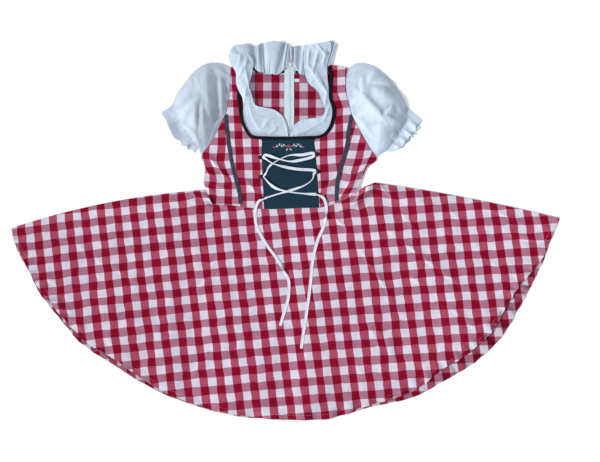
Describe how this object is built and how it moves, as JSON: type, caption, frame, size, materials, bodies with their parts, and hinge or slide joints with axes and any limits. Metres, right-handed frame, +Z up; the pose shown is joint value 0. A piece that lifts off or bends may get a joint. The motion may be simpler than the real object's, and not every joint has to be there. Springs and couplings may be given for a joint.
{
  "type": "dirndl dress",
  "caption": "Gingham dirndl dress laid flat on its back: laced dark front panel, white puff sleeves, gathered white neck frill and a wide circle skirt.",
  "frame": {"origin": "under the middle of the laid-out dress, on the surface it lies on", "axes": "+Y from the hem towards the neck, +X across the dress to the right as seen from above, +Z up through the cloth"},
  "size_m": [1.34, 0.9256, 0.033],
  "materials": {
    "gingham": "matt plain-weave cotton blend, red and white gingham checks 20 mm wide",
    "white_cotton": "thin matt white cotton lawn, lightly creased",
    "zip_tape": "white woven twill tape",
    "zip_chain": "white nylon coil",
    "zip_metal": "white enamel",
    "plastron": "matt dark blue-green twill with a small embroidered flower spray",
    "piping": "near-black satin bias binding",
    "ribbon": "dark slate ribbed ribbon, slight sheen",
    "lace": "white satin ribbon 7 mm wide"
  },
  "bodies": {
    "root": {"skirt_front": "gingham", "skirt_back": "gingham", "front_left": "gingham", "front_right": "gingham", "side_front_left": "gingham", "side_front_right": "gingham", "back_left": "gingham", "back_right": "gingham", "sleeve_left": "white_cotton", "sleeve_right": "white_cotton", "neck_frill_left": "white_cotton", "neck_frill_right": "white_cotton", "insert_left": "white_cotton", "insert_right": "white_cotton", "zip_tape_left": "zip_tape", "zip_tape_right": "zip_tape", "size_label": "zip_tape", "zip_chain": "zip_chain", "zip_slider": "zip_metal", "zip_pull": "zip_metal", "plastron": "plastron", "neck_binding_front": "piping", "neck_binding_back_left": "piping", "neck_binding_back_right": "piping", "lace_loop_left_1": "piping", "lace_loop_left_2": "piping", "lace_loop_left_3": "piping", "lace_loop_right_1": "piping", "lace_loop_right_2": "piping", "lace_loop_right_3": "piping", "ribbon_left": "ribbon", "ribbon_right": "ribbon", "lace_stretch_1": "lace", "lace_stretch_2": "lace", "lace_stretch_3": "lace", "lace_stretch_4": "lace", "lace_stretch_5": "lace", "lace_tail_left": "lace", "lace_tail_right": "lace"}
  },
  "joints": []
}
